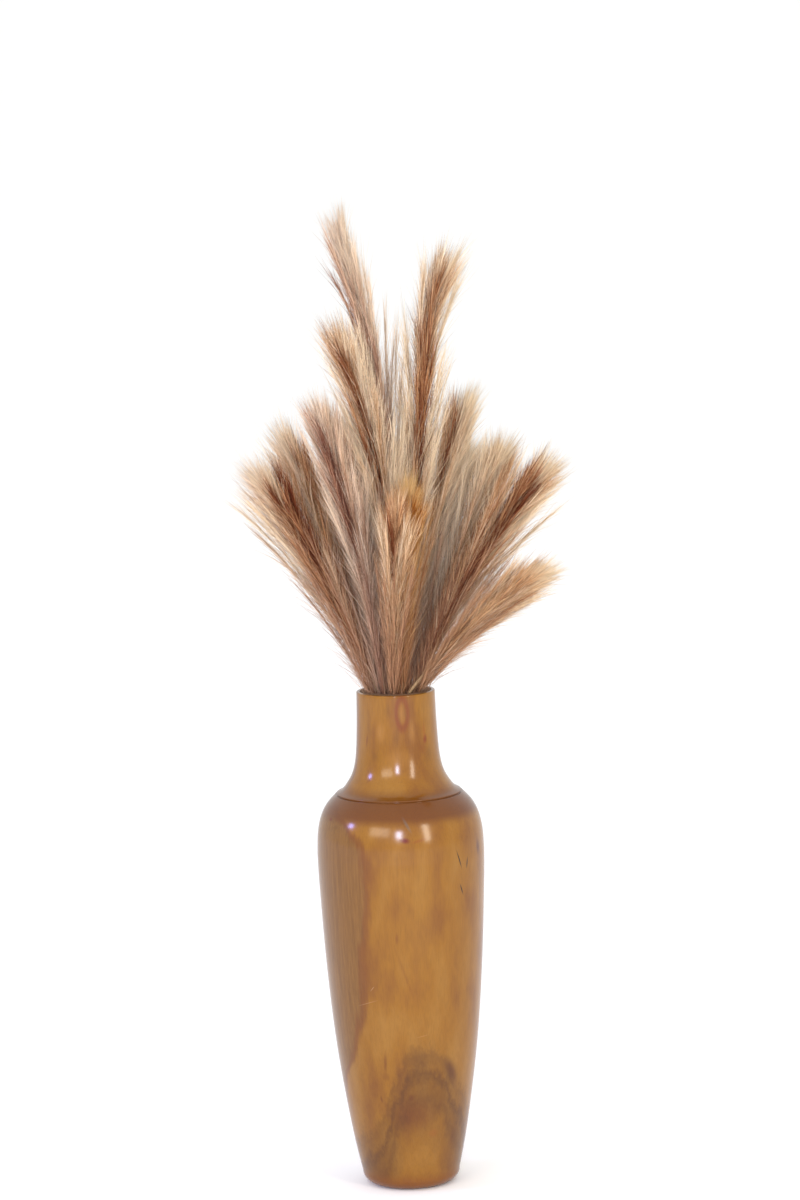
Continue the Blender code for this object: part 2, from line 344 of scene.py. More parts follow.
# angle in degrees, height in millimetres: the top of the arch near the foot
ARCH = ((-110, 24), (-70, 42), (-48, 52), (-29, 64), (-18.6, 84), (-14, 102), (-7, 118), (8, 137),
        (30, 128), (40, 108), (57, 88), (75, 66), (110, 24))
# how dark each ring of the arch is, from its top down
ARCH_RINGS = (
    (0.0, "#000000"), (0.11, "#505050"), (0.2, "#b4b4b4"), (0.27, "#9c9c9c"), (0.36, "#e0e0e0"),
    (0.46, "#b4b4b4"), (0.56, "#d0d0d0"), (0.72, "#888888"), (0.85, "#808080"), (1.0, "#303030"),
)
# angle, height, half width, half height, turn in degrees, softness, strength, colour
BLOTS = (
    (3.2, 331.7, 4.0, 2.6, 10, 0.8, 0.9, "#61170a"),
    (13, 331, 7, 1.6, -14, 0.9, 0.5, "#7d4010"),
    (43, 415.7, 5, 4, -30, 0.9, 0.85, "#702e0a"),
    (42, 424, 3.4, 7, 0, 0.9, 0.5, "#874a0a"),
    (37, 408, 9, 5, 15, 1.0, 0.4, "#70390a"),
    (-47.6, 415.3, 1.8, 6, 10, 0.9, 0.6, "#602e0a"),
    (-38, 381, 6, 1.8, -25, 0.9, 0.35, "#602e0a"),
    (5, 345, 1.4, 7, -28, 0.9, 0.55, "#61574e"),
    (67, 316, 3.5, 7, 0, 0.9, 0.8, "#52260b"),
    (70, 288, 2.5, 30, 0, 1.0, 0.4, "#603312"),
    (-62, 346, 2.5, 1.6, 0, 0.9, 0.7, "#601b0a"),
    (-54, 340, 8, 2.4, -25, 1.0, 0.35, "#614017"),
    (-4.7, 242.2, 1.6, 6, 0, 0.9, 0.55, "#6a390a"),
    (0, 209, 1.4, 29, -18, 1.0, 0.35, "#73420d"),
    (-18.5, 125, 1.8, 10, 3, 0.9, 0.6, "#60300a"),
    (-19, 112, 4, 4, 0, 0.9, 0.4, "#60300a"),
    (6, 75, 22, 16, 0, 1.0, 0.55, "#55240a"),
    (2, 92, 3, 3, 0, 0.9, 0.5, "#501e0a"),
    (40, 112, 6, 16, -28, 0.9, 0.6, "#52280a"),
    (-25, 90, 1.2, 3, -10, 0.8, 0.5, "#50210a"),
    (23, 56, 6, 4, 0, 0.8, 0.35, "#82420b"),
)
PATCHES = (
    (-24, 424, 8, 9, 0, 1.0, 0.5, "#9d6e33"),
    (22, 424, 6, 10, 0, 1.0, 0.45, "#9d6e33"),
    (0, 400, 22, 8, 0, 1.0, 0.35, "#986a30"),
    (-2, 417, 7, 8, 0, 1.0, 0.5, "#6c430f"),
    (-44, 428, 5, 14, 0, 1.0, 0.45, "#6c430f"),
    (48, 402, 9, 8, 0, 1.0, 0.5, "#68400e"),
    (-12, 445, 5, 9, 0, 1.0, 0.4, "#6e460f"),
    (-32, 402, 8, 6, 0, 1.0, 0.4, "#6e460f"),
    (8, 441, 5, 9, 0, 1.0, 0.4, "#9d6e33"),
    (9, 127, 12, 8, 0, 1.0, 0.45, "#54300d"),
    (38, 112, 6, 15, -25, 1.0, 0.55, "#4c2c0e"),
    (-20, 150, 9, 30, 8, 1.0, 0.25, "#946a2c"),
    (12, 260, 16, 50, 0, 1.0, 0.3, "#8f6422"),
)
CHECKS = (
    (43.5, 309.5, 0.65, 9.0, -17, 0.8, 1.0, "#130a0a"),
    (51.3, 305.0, 0.65, 5.2, 8, 0.8, 1.0, "#130a0a"),
    (45.4, 281.8, 0.65, 5.6, -20, 0.8, 1.0, "#130a0a"),
    (-30, 181, 0.28, 11, 72, 0.8, 0.35, "#b69268"),
    (-25, 195, 0.28, 3, 40, 0.8, 0.5, "#be9d74"),
    (12, 150, 0.4, 6, 80, 0.8, 0.3, "#ab8352"),
)
print("marks on the wood:", len(PATCHES) + len(BLOTS) + len(CHECKS))


# %% The lacquered finish
def ellipse(tree, both, angle, height, half_width, half_height, turn):
    """How far out of an ellipse's centre a place is: one at its edge."""
    centre = (angle * DEGREE_MM, height, 0.0)
    moved = add(tree, "vector SUBTRACT", [both, centre])
    turned = add(tree, "ShaderNodeVectorRotate", {"Vector": moved, "Angle": math.radians(turn)},
                 rotation_type="Z_AXIS")
    size = (1 / half_width, 1 / half_height, 0.0)
    sized = add(tree, "vector MULTIPLY", [turned, size])
    return add(tree, "vector LENGTH", [sized]).outputs["Value"]


def lacquered_wood():
    """Glossy lacquer over honey wood: a clear coat that mirrors the soft boxes over a duller brown."""
    material, tree, shader = new_finish("lacquered honey wood")
    spot, arc_mm, height_mm, both = wood_places(tree)

    # sapwood: broad clouds of colour, and the vessels cut lengthwise as fine darker streaks
    broad = stretched_noise(tree, spot, 26, 70, seed=3.0)
    colour = add(tree, "ramp", [broad], ((0.3, SAPWOOD_DEEP), (0.5, SAPWOOD), (0.72, SAPWOOD_PALE)))
    streaks = stretched_noise(tree, spot, 2.6, 60, detail=4.0, roughness=0.65, seed=7.0)
    vessels = add(tree, "range SMOOTHSTEP", [streaks, 0.5, 0.75, 0.0, 0.22])

    # heartwood: everything behind an edge that wobbles along the grain, with a reddish line on it
    wobble = stretched_noise(tree, spot, 9, 50, detail=4.0, seed=11.0)
    wobble_mm = add(tree, "range", [wobble, 0.3, 0.7, -4.0, 4.0])
    wobbly_arc = add(tree, "math ADD", [arc_mm, wobble_mm])
    edge_degrees = drawn_line(tree, height_mm, HEART_EDGE)
    edge_mm = add(tree, "math MULTIPLY", [edge_degrees, DEGREE_MM])
    past_edge = add(tree, "math SUBTRACT", [edge_mm, wobbly_arc])
    heart = add(tree, "range SMOOTHSTEP", [past_edge, -3, 5])
    back_limit = add(tree, "range SMOOTHSTEP", [arc_mm, -168 * DEGREE_MM, -150 * DEGREE_MM])
    heart = add(tree, "math MULTIPLY", [heart, back_limit])
    heart_colour = add(tree, "ramp", [streaks], ((0.38, HEARTWOOD), (0.68, HEARTWOOD_DARK)))
    line = add(tree, "math MULTIPLY", [
        add(tree, "range SMOOTHSTEP", [past_edge, -5, 1.5]),
        add(tree, "range SMOOTHSTEP", [past_edge, 2, 9, 0.6, 0.0]),
    ])

    # the arch: its rings lie at fixed distances below its top, and ragged pores break them up
    angle_degrees = add(tree, "math MULTIPLY", [wobbly_arc, 1 / DEGREE_MM])
    drop = add(tree, "math SUBTRACT", [drawn_line(tree, angle_degrees, ARCH), height_mm])
    ragged = stretched_noise(tree, spot, 5, 9, detail=5.0, roughness=0.65, seed=23.0)
    drop = add(tree, "math ADD", [drop, add(tree, "range", [ragged, 0.3, 0.7, -7.0, 7.0])])
    rings = add(tree, "ramp", [add(tree, "range", [drop, -20.0, 100.0])], ARCH_RINGS)

    # the eye of the neck is one closed ring; the shoulder is darker in a band just below the groove, and the
    # foot gets painted shade low down, where it turns under
    eye = ellipse(tree, both, 8.5, 441, 13, 17, 0)
    eye_ring = add(tree, "math MULTIPLY", [
        add(tree, "range SMOOTHSTEP", [eye, 0.35, 0.75]),
        add(tree, "range SMOOTHSTEP", [eye, 0.8, 1.25, 0.95, 0.0]),
    ])
    dark_shoulder = add(tree, "math MULTIPLY", [
        add(tree, "range SMOOTHSTEP", [height_mm, 341, 351]),
        add(tree, "range SMOOTHSTEP", [height_mm, 362, 376, 0.9, 0.0]),
    ])
    # painted shade: the foot is darker from 20 mm down, where the profile turns under
    painted_foot_shade = add(tree, "range SMOOTHSTEP", [height_mm, 20, 4, 0.0, 0.85])

    # each layer covers the ones before it by its own share
    layers = [
        (vessels, SAPWOOD_DEEP), (heart, heart_colour), (line, HEART_LINE), (rings, ARCH_BROWN),
        (eye_ring, "#71390c"), (dark_shoulder, "#5f3208"), (painted_foot_shade, "#74400c"),
    ]
    for *shape, softness, strength, code in (*PATCHES, *BLOTS, *CHECKS):
        inside = ellipse(tree, both, *shape)
        share = add(tree, "range SMOOTHSTEP", [inside, 1 + softness / 2, 1 - softness, 0.0, strength])
        layers.append((share, code))
    for share, layer in layers:
        colour = add(tree, "mix RGBA", [share, colour, layer])

    # single fibres are about 0.05 mm wide: they are drawn 0.7 mm wide, so that they show in the render
    fibres = stretched_noise(tree, spot, 0.7, 14, detail=2.0, seed=19.0)
    fibre_shade = add(tree, "ramp", [fibres], ((0.25, "#b8b0a4"), (0.55, "#ffffff")))
    colour = add(tree, "mix RGBA", [0.3, colour, fibre_shade], blend_type="MULTIPLY")
    grain_bump = add(tree, "ShaderNodeBump", {"Height": fibres, "Strength": 0.06, "Distance": 0.0004})
    # lacquer has an IOR of 1.5, and a hand-rubbed gloss blurs what it mirrors a little. The wood under it
    # is matte, as the lacquer fills its pores.
    fill(tree, shader, {
        "Base Color": colour, "Normal": grain_bump, "Roughness": 0.45, "Specular IOR Level": 0.05,
        "Coat Weight": 0.75, "Coat Roughness": 0.17, "Coat IOR": 1.5,
    })
    return material


LACQUER = lacquered_wood()
print("made:", LACQUER.name)

# %% [markdown]
# ### Bare wood
# The lacquer stops at the rim, where the cut runs across the grain: end grain soaks up oil and dust, so
# it is darker, and its open pores show as dots. The bore is raw too. The same stretched noise, taken
# finer, gives both: seen from above its streaks are dots, and down the bore they are fibres.

# %% The bare finish
def bare_wood():
    """Sawn end grain in the rim and raw wood down the bore: no gloss, darker, with dots of open pores."""
    material, tree, shader = new_finish("bare end grain")
    spot = add(tree, "ShaderNodeTexCoord").outputs["Object"]
    # pores are about 0.2 mm across: they are drawn 1.1 mm across, so that they show in the render
    pores = stretched_noise(tree, spot, 1.1, 20, detail=4.0, roughness=0.7, seed=5.0)
    colour = add(tree, "ramp", [pores], ((0.3, "#4f3a28"), (0.55, "#7a6048"), (0.8, "#947555")))
    # unfinished wood scatters light: it is rough, with a faint shine
    fill(tree, shader, {"Base Color": colour, "Roughness": 0.8, "Specular IOR Level": 0.2})
    return material


BARE_WOOD = bare_wood()
print("made:", BARE_WOOD.name)

# %% [markdown]
# ## Turning the vase
# Blender could spin the outline with a Screw modifier. A lathe in Geometry Nodes does the same and
# shows the rule: take a flat grid, read each column as one cut across the spinning block, and move
# every point to its radius and height at that column's angle. Where the last column meets the first,
# and where the outline meets the axis, the points that fall together are merged.

# %% Helpers that build a tree and run it
def new_recipe(name, sizes):
    """An empty Geometry Nodes tree with named inputs, and its two end nodes."""
    tree = bpy.data.node_groups.new(name, "GeometryNodeTree")
    for label, (kind, value) in sizes.items():
        socket = tree.interface.new_socket(label, in_out="INPUT", socket_type="NodeSocket" + kind)
        if value is not None:
            socket.default_value = value
    return tree, tree.nodes.new("NodeGroupInput"), tree.nodes.new("NodeGroupOutput")


def grow(source, tree, values):
    """Runs a tree on an object, and leaves the object with the plain mesh that the tree made."""
    modifier = source.modifiers.new(tree.name, "NODES")
    modifier.node_group = tree
    for item in tree.interface.items_tree:
        if item.in_out == "INPUT" and item.name in values:
            modifier[item.identifier] = values[item.name]
    seen = source.evaluated_get(bpy.context.evaluated_depsgraph_get())
    mesh = bpy.data.meshes.new_from_object(seen)
    source.modifiers.remove(modifier)
    source.data = mesh
    mesh.calc_loop_triangles()
    print(f"{source.name}: {len(mesh.loop_triangles)} triangles")
    return source


def line_object(name, points, values):
    """A mesh of points joined one after the other, with a number of each kind stored at every point."""
    mesh = bpy.data.meshes.new(name)
    mesh.from_pydata(points, [(i, i + 1) for i in range(len(points) - 1)], [])
    for label, numbers in values.items():
        mesh.attributes.new(label, "FLOAT", "POINT").data.foreach_set("value", numbers)
    made = bpy.data.objects.new(name, mesh)
    bpy.context.scene.collection.objects.link(made)
    return made


print("ready to turn", len(outline), "points")

# %% The lathe
CLOSE_MM = 0.002
# a face counts as bare only where all of its points are
NEARLY_ONE = 0.99

lathe, given, result = new_recipe("lathe", {
    "Geometry": ("Geometry", None),
    "Segments": ("Int", 128),
    "Rings": ("Int", 64),
    "Lacquer": ("Material", None),
    "Bare wood": ("Material", None),
})
lathe.interface.new_socket("Geometry", in_out="OUTPUT", socket_type="NodeSocketGeometry")
columns = add(lathe, "math ADD", [given.outputs["Segments"], 1.0])
grid = add(lathe, "GeometryNodeMeshGrid", {"Vertices X": columns, "Vertices Y": given.outputs["Rings"]})
index = add(lathe, "GeometryNodeInputIndex")
column = add(lathe, "math FLOOR", [add(lathe, "math DIVIDE", [index, given.outputs["Rings"]])])
ring = add(lathe, "math MODULO", [index, given.outputs["Rings"]])
turn = add(lathe, "math DIVIDE", [column, given.outputs["Segments"]])
turn = add(lathe, "math MULTIPLY", [turn, math.tau])
cut = add(lathe, "GeometryNodeSampleIndex", {
    "Geometry": given.outputs["Geometry"], "Value": add(lathe, "GeometryNodeInputPosition"), "Index": ring,
}, data_type="FLOAT_VECTOR")
is_bare = add(lathe, "GeometryNodeInputNamedAttribute", {"Name": "bare"}, data_type="FLOAT")
bare_here = add(lathe, "GeometryNodeSampleIndex", {
    "Geometry": given.outputs["Geometry"], "Value": is_bare, "Index": ring,
}, data_type="FLOAT")
spun = add(lathe, "ShaderNodeVectorRotate", {"Vector": cut, "Angle": turn}, rotation_type="Z_AXIS")
marked = add(lathe, "GeometryNodeStoreNamedAttribute", {
    "Geometry": grid, "Name": "bare", "Value": bare_here,
}, data_type="FLOAT", domain="POINT")
shaped = add(lathe, "GeometryNodeSetPosition", {"Geometry": marked, "Position": spun})
closed = add(lathe, "GeometryNodeMergeByDistance", {"Geometry": shaped, "Distance": CLOSE_MM * MM})
smooth = add(lathe, "GeometryNodeSetShadeSmooth", {"Geometry": closed})
whole = add(lathe, "GeometryNodeRealizeInstances", {"Geometry": smooth})
painted = add(lathe, "GeometryNodeSetMaterial", {"Geometry": whole, "Material": given.outputs["Lacquer"]})
all_bare = add(lathe, "FunctionNodeCompare", [is_bare, NEARLY_ONE],
               data_type="FLOAT", operation="GREATER_THAN")
painted = add(lathe, "GeometryNodeSetMaterial", {
    "Geometry": painted, "Selection": all_bare, "Material": given.outputs["Bare wood"],
})
fill(lathe, result, {"Geometry": painted})
print("nodes in the lathe:", len(lathe.nodes))

# %% Turn the vase
VASE_SEGMENTS = 160
vase = line_object(
    "turned_vase",
    [(p.x * MM, 0.0, p.y * MM) for p in outline],
    {"bare": [1.0] * len(bare_outline) + [0.0] * len(lacquered_outline)},
)
grow(vase, lathe, {
    "Segments": VASE_SEGMENTS, "Rings": len(outline),
    "Lacquer": LACQUER, "Bare wood": BARE_WOOD,
})
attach(vase, "root")
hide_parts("vase")

# %% [markdown]
# ## The lines of the plumes
# Each plume stands in the bore on a thin straw. Above the mouth the straw bends away from its
# neighbours, and the hair grows from it to its tip. The table repeats the bends and tips of the CAD
# solids, so that the hair grows where they are, and adds the looks of each plume.

# %% Where every plume goes
# millimetres, and degrees round the vase
OUTER_RING, INNER_RING = 17.2, 9.5
OUTER_START, INNER_START = -98.0, -128.0
STALK_FOOT, FLOOR_SPREAD = 127.3, 0.9
FULLEST, SWELL_POWER, TOP_TAPER = 0.66, 0.6, 0.6
HEAD_POINTS, STALK_POINTS = 40, 12

# bend and tip as in the CAD model, head radius, and how far the hair's middle line strays from the
# solid's at some shares of the way up the head: the hair of a front plume rises, a tip may curl
OUTER_PLUMES = {
    "low_front": ((0, -52, 566), (8, -108, 622), 30, {0.5: (0, 4, 6), 1.0: (0, 16, 24)}),
    "amber_front": ((6, -34, 572), (20, -72, 682), 27, {0.5: (0, 4, -4), 1.0: (0, 12, -27)}),
    "low_right": ((82, -30, 540), (148, -50, 572), 29, {}),
    "far_right": ((75, -6, 590), (156, -12, 664), 35, {1.0: (0, 0, 4)}),
    "inner_right": ((62, 22, 592), (106, 44, 680), 32, {1.0: (6, 0, 4)}),
    "high_right": ((20, 24, 581), (80, 50, 730), 29, {}),
    "pale_right": ((30, 50, 556), (74, 98, 668), 31, {0.6: (4, -6, 6), 1.0: (8, -14, 14)}),
    "back_right": ((6, 58, 580), (30, 116, 690), 28, {1.0: (0, -8, 4)}),
    "back_left": ((-18, 54, 580), (-38, 112, 700), 28, {1.0: (0, -8, 4)}),
    "behind_left": ((-38, 42, 566), (-86, 84, 668), 30, {}),
    "upper_left": ((-42, 12, 580), (-102, 26, 710), 30, {1.0: (0, 0, -6)}),
    "far_left": ((-72, -18, 600), (-126, -30, 668), 37, {1.0: (0, 0, 4)}),
    "mauve_left": ((-20, -28, 594), (-67, -58, 738), 31, {1.0: (0, 4, 0)}),
}
INNER_PLUMES = {
    "high_left": ((12, -12, 630), (-52, -44, 808), 35, {0.6: (6, 0, 0), 1.0: (0, 0, 0)}),
    "tall_right": ((17, 4, 682), (60, 2, 874), 29, {0.5: (2, 0, 0), 0.78: (-5, 0, 0), 1.0: (12, 0, -2)}),
    "tall_left": ((18, 16, 695), (-39, 26, 894), 29,
        {0.45: (2, 0, 0), 0.7: (0, 0, 0), 0.86: (-6, 0, 0), 1.0: (-3, 0, 2)}),
}
# colours, branches, hairs on a branch, hair length, spread in degrees, the pale side (1 right, 2 both),
# and the dark streak: how far to the right of the middle, half its width, where it starts and ends
PLUME_LOOKS = {
    "low_front": ("sand", 52, 92, 50, 10, 0, (0, 0.3, 0.3, 1.0)),
    "amber_front": ("amber", 56, 94, 54, 10, 0, (0, 0.6, 0.3, 0.66)),
    "low_right": ("sand", 62, 98, 49, 14, 1, (0.3, 0.2, 0.05, 0.3)),
    "far_right": ("chestnut", 72, 104, 58, 13, 1, (-0.05, 0.4, 0.05, 0.72)),
    "inner_right": ("umber", 62, 98, 58, 12, 2, (0.1, 0.4, 0.05, 0.37)),
    "high_right": ("umber", 62, 98, 60, 12, 1, (-0.3, 0.25, 0.3, 0.66)),
    "pale_right": ("cream", 52, 72, 58, 13, 1, (0, 1.3, -0.2, 0.5)),
    "back_right": ("sand", 52, 86, 58, 13, 0, (0, 0.8, 0.2, 0.7)),
    "back_left": ("umber", 52, 86, 58, 13, 0, (0, 0.8, 0.2, 0.7)),
    "behind_left": ("sand", 54, 88, 58, 13, 0, (0, 0.8, 0.2, 0.7)),
    "upper_left": ("sand", 60, 98, 60, 12, -1, (0.35, 0.35, 0.25, 0.62)),
    "far_left": ("chestnut", 72, 104, 60, 13, -1, (0.3, 0.4, 0.15, 0.62)),
    "mauve_left": ("mauve", 66, 100, 58, 11, -1, (-0.2, 0.4, 0.2, 0.64)),
    "high_left": ("umber", 74, 102, 62, 12, 2, (0.05, 0.5, 0.25, 0.76)),
    "tall_right": ("chestnut", 74, 104, 62, 13, 2, (-0.05, 0.6, 0.25, 0.8)),
    "tall_left": ("mauve", 74, 102, 54, 10, 1, (-0.35, 0.6, 0.4, 0.74)),
}
print("plumes:", len(OUTER_PLUMES) + len(INNER_PLUMES))


# %% Helpers for the lines of the plumes
def seat(radius, start, place, count):
    """Where a straw crosses the mouth, one of a number that stand in a ring."""
    angle = math.radians(start + place * 360.0 / count)
    return Vector((radius * math.cos(angle), radius * math.sin(angle), VASE_HEIGHT))


def head_share(t):
    """How full a head is along its line: narrow at the throat, fullest past the middle, then less so."""
    swell = min(t / FULLEST, 1.0) ** SWELL_POWER
    taper = 1 - TOP_TAPER * (max(t - FULLEST, 0.0) / (1 - FULLEST)) ** 2
    return swell * taper


def strays(t, shifts):
    """How far the hair's line strays at this share of the head, eased from one given place to the next."""
    before, shift_before = 0.0, Vector((0, 0, 0))
    for after, shift_after in shifts.items():
        if t <= after:
            eased = 0.5 - 0.5 * math.cos(math.pi * (t - before) / (after - before))
            return shift_before.lerp(Vector(shift_after), eased)
        before, shift_before = after, Vector(shift_after)
    return shift_before


def plume_line(at_mouth, bend, tip, shifts):
    """The straw's points from the floor of the bore to the tip, and how far along the head each one is."""
    below = Vector((at_mouth.x * FLOOR_SPREAD, at_mouth.y * FLOOR_SPREAD, STALK_FOOT))
    points = [below.lerp(at_mouth, i / STALK_POINTS) for i in range(STALK_POINTS)]
    shares = [0.0] * STALK_POINTS
    for i in range(HEAD_POINTS + 1):
        t = i / HEAD_POINTS
        place = at_mouth * (1 - t) ** 2 + Vector(bend) * 2 * t * (1 - t) + Vector(tip) * t * t
        points.append(place + strays(t, shifts))
        shares.append(t)
    return points, shares


print("points on a line:", STALK_POINTS + HEAD_POINTS + 1)

# %% [markdown]
# ## How the hair grows
# A plume is a straw with thin branches, and every branch carries long silky hairs that lie nearly
# along it, so from a step away the hair gathers in locks. Hair curves would be the usual way, but they
# are lost when a model leaves Blender. So each hair is a tiny closed needle with three sides. The tree
# works out, for every hair, a root, a bend and a tip, and then pulls a straight needle along them.

# %% A tree for one bent line
BEND_SIZES = {label: ("Vector", None) for label in ("Root", "Bend", "Tip")} | {"Along": ("Float", None)}
bent, given, result = new_recipe("point on a bent line", BEND_SIZES)
for label in ("Position", "Heading"):
    bent.interface.new_socket(label, in_out="OUTPUT", socket_type="NodeSocketVector")
root, bend, tip, along = (given.outputs[label] for label in BEND_SIZES)
first, second = (add(bent, "mix VECTOR", [along, *ends]) for ends in ((root, bend), (bend, tip)))
place = add(bent, "mix VECTOR", [along, first, second])
heading = add(bent, "vector NORMALIZE", [add(bent, "vector SUBTRACT", [second, first])])
fill(bent, result, {"Position": place, "Heading": heading})
print("nodes for a bent line:", len(bent.nodes))

# %% [markdown]
# ### Sizes that a plume can have
# Sixteen plumes differ in fullness, length, colour and dark streak, but they grow by one rule. So the
# sizes are inputs of one tree, and each plume gives its own values and its own seed.

# %% The inputs of the plume tree
PLUME_SIZES = {
    "Geometry": ("Geometry", None),
    "Branches": ("Int", 44),
    "Hairs on a branch": ("Int", 80),
    "Throat": ("Float", 0.5),
    "Branch share": ("Float", 0.2),
    "Last root": ("Float", 0.82),
    "Highest end": ("Float", 0.9),
    "Hair length": ("Float", 0.055),
    "Hair radius": ("Float", 0.0003),
    "Spread": ("Float", 0.2),
    "Pale side": ("Float", 0.0),
    "Pale all round": ("Float", 0.0),
    "Streak side": ("Float", 0.0),
    "Streak width": ("Float", 0.5),
    "Streak start": ("Float", 0.3),
    "Streak end": ("Float", 0.85),
    "Seed": ("Int", 1),
    "Hair": ("Material", None),
    "Straw": ("Material", None),
}
tree, given, result = new_recipe("plume of hair", PLUME_SIZES)
tree.interface.new_socket("Geometry", in_out="OUTPUT", socket_type="NodeSocketGeometry")
wanted = {label: given.outputs[label] for label in PLUME_SIZES}
# one seed for each thing that varies by chance
VARIES = ("reach", "end", "turn", "lean", "place", "side", "stray", "length", "kink", "tone", "lock")
seeds = {what: add(tree, "math ADD", [wanted["Seed"], number]) for number, what in enumerate(VARIES, 1)}
print("inputs of the plume tree:", len(wanted))

# %% [markdown]
# ### The branches
# On the real plume hundreds of branches leave the stem one above the other, turned by the golden angle
# as leaves are, and lie close to it. Each number here is worked out for every hair at once: the branch
# that a hair is on comes from its place in the list. The upper branches are shorter, so they stop at the
# tip, and most branches end near the outside of the head, where the light finds them.

# %% Where each branch starts, and where it ends
THROAT_BELOW = -0.14
GOLDEN_ANGLE = math.radians(137.5)
CROWDED_LOW = 0.9
LENGTH_SHARES, END_JITTER, SHORTEST = (0.75, 1.2), 0.016, 0.01
TURN_JITTER = 0.4
MOSTLY_OUTSIDE = 0.38
LEAST_LEAN, MOST_LEAN = 0.12, 0.8
LEAN_AT_BEND = 0.35

hair_number = add(tree, "GeometryNodeInputIndex")
branch = add(tree, "math FLOOR", [add(tree, "math DIVIDE", [hair_number, wanted["Hairs on a branch"]])])
up_the_head = add(tree, "math DIVIDE", [add(tree, "math ADD", [branch, 0.5]), wanted["Branches"]])
up_the_head = add(tree, "math POWER", [up_the_head, CROWDED_LOW])
up_the_head = add(tree, "range", [up_the_head, 0.0, 1.0, THROAT_BELOW, wanted["Last root"]])
head_part = add(tree, "math SUBTRACT", [1.0, wanted["Throat"]])
starts = add(tree, "math MULTIPLY_ADD", [up_the_head, head_part, wanted["Throat"]])
reach = add(tree, "random FLOAT", [*LENGTH_SHARES, branch, seeds["reach"]])
reach = add(tree, "math MULTIPLY", [wanted["Branch share"], reach])
highest = add(tree, "random FLOAT", [-END_JITTER, END_JITTER, branch, seeds["end"]])
highest = add(tree, "math ADD", [wanted["Highest end"], highest])
ends = add(tree, "math MINIMUM", [add(tree, "math ADD", [starts, reach]), highest])
ends = add(tree, "math MAXIMUM", [ends, add(tree, "math ADD", [starts, SHORTEST])])
middles = add(tree, "math MULTIPLY", [add(tree, "math ADD", [starts, ends]), 0.5])

straw_line = add(tree, "GeometryNodeMeshToCurve", [wanted["Geometry"]])
fullness = add(tree, "GeometryNodeInputNamedAttribute", {"Name": "fullness"}, data_type="FLOAT")
at_start, at_middle, at_end = (
    add(tree, "GeometryNodeSampleCurve", {"Curves": straw_line, "Value": fullness, "Factor": factor},
        mode="FACTOR", data_type="FLOAT")
    for factor in (starts, middles, ends)
)
print("nodes so far:", len(tree.nodes))

# %% Which way each branch leans, and how far
round_the_straw = add(tree, "random FLOAT", [-TURN_JITTER, TURN_JITTER, branch, seeds["turn"]])
round_the_straw = add(tree, "math MULTIPLY_ADD", [branch, GOLDEN_ANGLE, round_the_straw])
outward = add(tree, "ShaderNodeVectorRotate", {
    "Vector": at_end.outputs["Normal"], "Axis": at_end.outputs["Tangent"], "Angle": round_the_straw,
})
lean = add(tree, "random FLOAT", [0.0, 1.0, branch, seeds["lean"]])
lean = add(tree, "math POWER", [lean, MOSTLY_OUTSIDE])
lean = add(tree, "range", [lean, 0.0, 1.0, LEAST_LEAN, MOST_LEAN])
whole_share = add(tree, "math DIVIDE", [add(tree, "math SUBTRACT", [ends, starts]), wanted["Branch share"]])
out_share = add(tree, "math MULTIPLY", [lean, whole_share])
lean = add(tree, "math MULTIPLY", [at_end.outputs["Value"], out_share])
bend_lean = add(tree, "math MULTIPLY", [lean, LEAN_AT_BEND])
branch_root = at_start.outputs["Position"]
branch_bend, branch_tip = (
    add(tree, "vector ADD", [at.outputs["Position"], add(tree, "vector SCALE", [outward, far])])
    for at, far in ((at_middle, bend_lean), (at_end, lean))
)
print("nodes so far:", len(tree.nodes))

# %% [markdown]
# ### The dark streak and the pale edge
# In the photo each head has a dark streak up its middle, where the hair parts and shows its roots, and
# pale hair at one side or at both. It could be painted on, but here each branch knows how far to the
# right of the middle it ends, and how far up it starts, so two numbers tell whether it is in the streak.

# %% Which branches are in the dark streak
STREAK_EDGE, STREAK_FADES = 0.07, (0.6, 1.2)

to_the_right = add(tree, "vector CROSS_PRODUCT", [(0.0, 1.0, 0.0), at_end.outputs["Tangent"]])
to_the_right = add(tree, "vector NORMALIZE", [to_the_right])
side = add(tree, "vector DOT_PRODUCT", [outward, to_the_right]).outputs["Value"]
side = add(tree, "math DIVIDE", [add(tree, "math MULTIPLY", [side, out_share]), MOST_LEAN])
off_streak = add(tree, "math ABSOLUTE", [add(tree, "math SUBTRACT", [side, wanted["Streak side"]])])
off_streak = add(tree, "math DIVIDE", [off_streak, wanted["Streak width"]])
streak = add(tree, "range SMOOTHSTEP", [off_streak, *STREAK_FADES, 1.0, 0.0])
for place, before, after in ((wanted["Streak start"], 0.0, 1.0), (wanted["Streak end"], 1.0, 0.0)):
    low, high = (add(tree, "math ADD", [place, shift]) for shift in (-STREAK_EDGE, STREAK_EDGE))
    inside = add(tree, "range", [up_the_head, low, high, before, after])
    streak = add(tree, "math MULTIPLY", [streak, inside])
pale_edge = add(tree, "math MAXIMUM", [
    add(tree, "math MULTIPLY", [side, wanted["Pale side"]]),
    add(tree, "math MULTIPLY", [add(tree, "math ABSOLUTE", [side]), wanted["Pale all round"]]),
])
print("nodes so far:", len(tree.nodes))

# %% [markdown]
# ### The hairs of a branch
# A real hair is about 0.1 mm thick and several centimetres long. It leaves its branch at a small angle
# and bends forward, so the tips fan out and the branch itself is hidden. Here every hair gets a random
# place on its branch and a random side. A few stray further out than the rest, which makes the fuzz.

# %% The root, bend and tip of every hair
FORWARD_PULL, OUTWARD_PULL = 0.5, 0.35
FEW_STRAY, STRAY_MORE = 4.0, 2.0
CLOSER_UP, SHORTER_UP = 0.4, 0.3
HAIR_SHARES, KINK = (0.6, 1.15), 0.02
BEND_AHEAD, BEND_ASIDE = 0.5, 0.25
ANY_WAY = (-1, -1, -1), (1, 1, 1)

